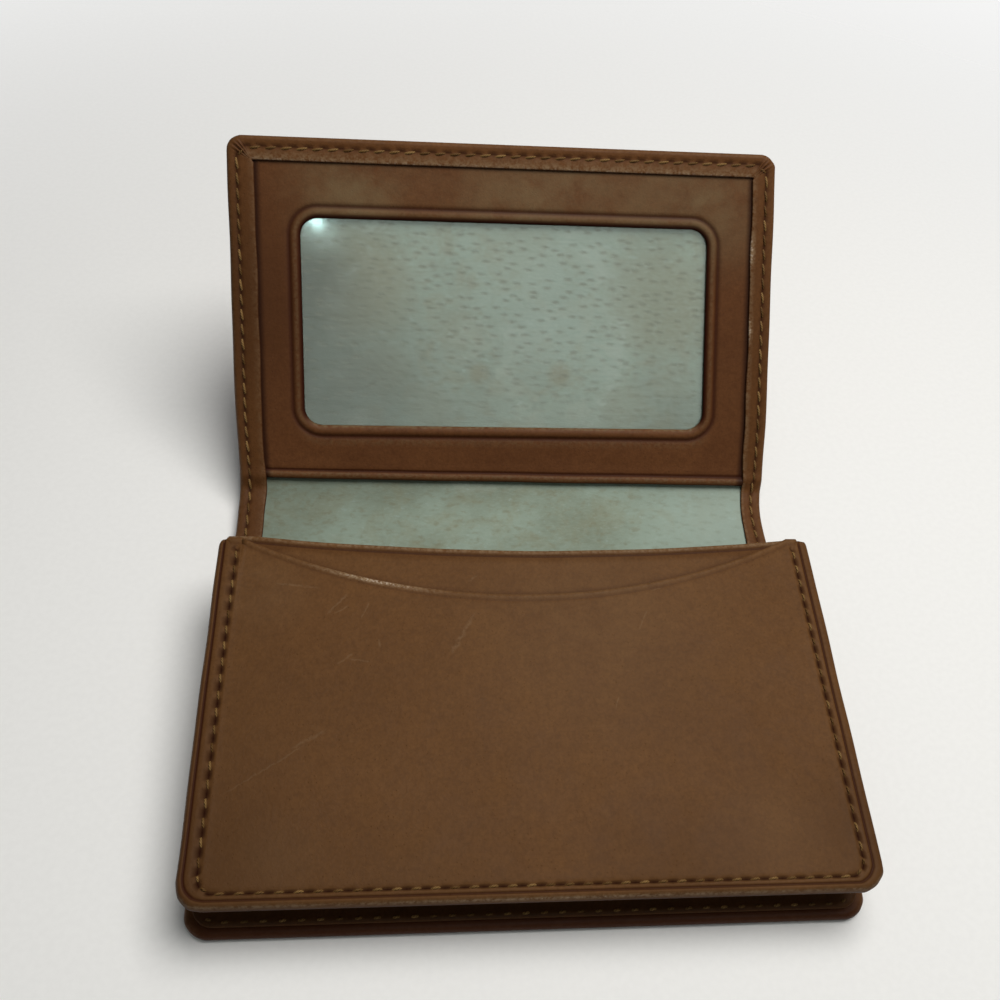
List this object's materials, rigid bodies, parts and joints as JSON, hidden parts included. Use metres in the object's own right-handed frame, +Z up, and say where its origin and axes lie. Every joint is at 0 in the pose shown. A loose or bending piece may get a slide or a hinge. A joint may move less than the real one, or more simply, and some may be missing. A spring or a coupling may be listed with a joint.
{
  "type": "id badge wallet",
  "caption": "Leather card case with a folding clear-window ID flap, a gusseted card pocket and a scooped slip pocket on its front.",
  "frame": {"origin": "centre of the back panel's outer face, which rests on the table", "axes": "+X across the case, +Y from the front edge towards the spine and flap, +Z up from the table"},
  "size_m": [0.104, 0.1297, 0.0529],
  "materials": {
    "tan_leather": "smooth aniline tan hide, lightly burnished at the turned edges",
    "lining_pigskin": "pale matte pigskin with clustered pores",
    "clear_film": "clear glossy vinyl film",
    "thread": "golden brown twisted polyester"
  },
  "bodies": {
    "back": {"back_cover": "tan_leather", "back_lining": "lining_pigskin", "gusset": "tan_leather", "back_needle_thread": "thread", "back_bobbin_thread": "thread"},
    "pocket": {"scoop_panel": "tan_leather", "pocket_wall": "tan_leather", "pocket_lining": "lining_pigskin", "pocket_needle_thread": "thread", "pocket_bobbin_thread": "thread"},
    "spine": {"spine_cover": "tan_leather", "spine_lining": "lining_pigskin", "spine_needle_thread": "thread", "spine_bobbin_thread": "thread"},
    "flap": {"flap_cover": "tan_leather", "flap_lining": "lining_pigskin", "window_frame": "tan_leather", "window_film": "clear_film", "flap_needle_thread": "thread", "flap_bobbin_thread": "thread"}
  },
  "joints": [
    {"name": "spine_fold", "type": "hinge", "parent": "back", "child": "spine", "pos_m": [0, 0.0329, 0.0005], "axis": [1, 0, 0], "range_deg": [-6, 84]},
    {"name": "flap_fold", "type": "hinge", "parent": "spine", "child": "flap", "pos_m": [0, 0.05279, 0.00259], "axis": [1, 0, 0], "range_deg": [-42, 48]},
    {"name": "pocket_open", "type": "hinge", "parent": "back", "child": "pocket", "pos_m": [0, -0.0295, 0.0052], "axis": [1, 0, 0], "range_deg": [-7, 0], "stiffness_Nm_per_rad": 0.04, "springref_deg": 11.46, "deforming": ["gusset"]}
  ]
}
